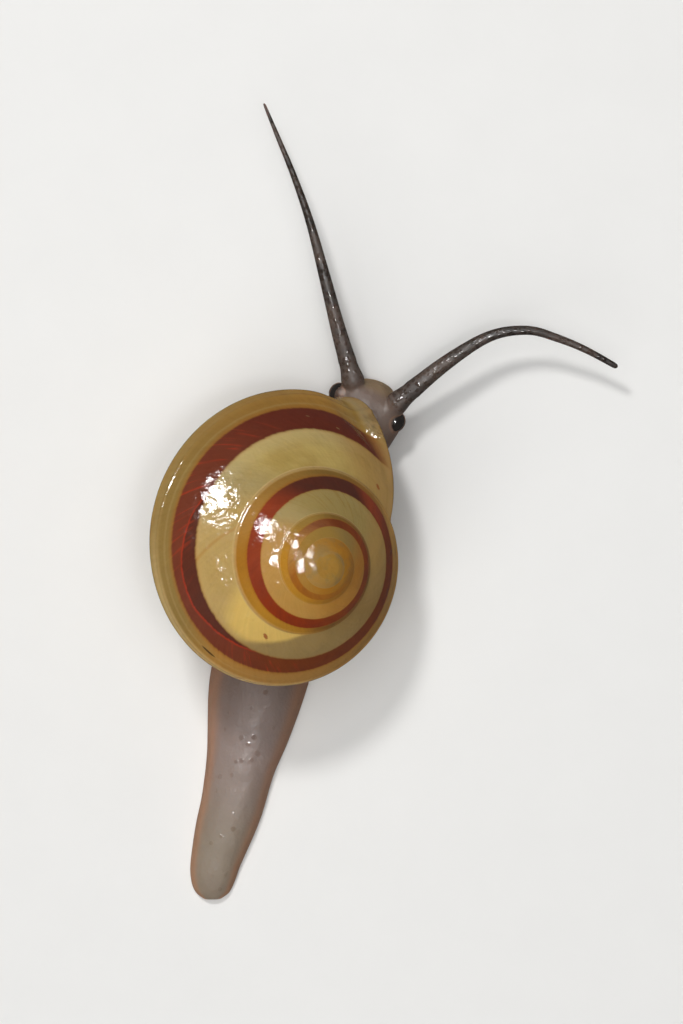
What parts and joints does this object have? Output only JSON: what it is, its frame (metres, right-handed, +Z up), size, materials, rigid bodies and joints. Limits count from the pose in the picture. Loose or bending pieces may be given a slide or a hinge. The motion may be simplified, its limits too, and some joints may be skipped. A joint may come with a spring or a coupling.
{
  "type": "striped land snail model",
  "caption": "Life-size still model of a crawling, operculate land snail with a glossy spiral-banded shell and two long slender feelers.",
  "frame": {"origin": "middle of the flat sole under the shell, on the floor", "axes": "+Z up; the snail faces -Y, its tail runs towards +Y and its left side is +X"},
  "size_m": [0.0234, 0.04, 0.0115],
  "materials": {
    "shell": "glossy, wet, amber cream with a dark red-brown spiral band",
    "operculum": "satin horn brown",
    "flesh": "wet, finely wrinkled grey",
    "feeler": "wet dark grey-brown",
    "eye": "polished black"
  },
  "bodies": {
    "root": {"shell": "shell", "operculum": "operculum", "mantle": "flesh", "stalk": "flesh", "neck": "flesh", "head": "flesh", "snout": "flesh", "foot_edge": "flesh", "foot_front": "flesh", "foot_middle": "flesh", "tail": "flesh", "tail_tip": "flesh", "eye_bulge_left": "flesh", "eye_bulge_right": "flesh", "eye_left": "eye", "eye_right": "eye", "feeler_left_base": "feeler", "feeler_left_middle": "feeler", "feeler_left_tip": "feeler", "feeler_right_base": "feeler", "feeler_right_middle": "feeler", "feeler_right_tip": "feeler"}
  },
  "joints": []
}
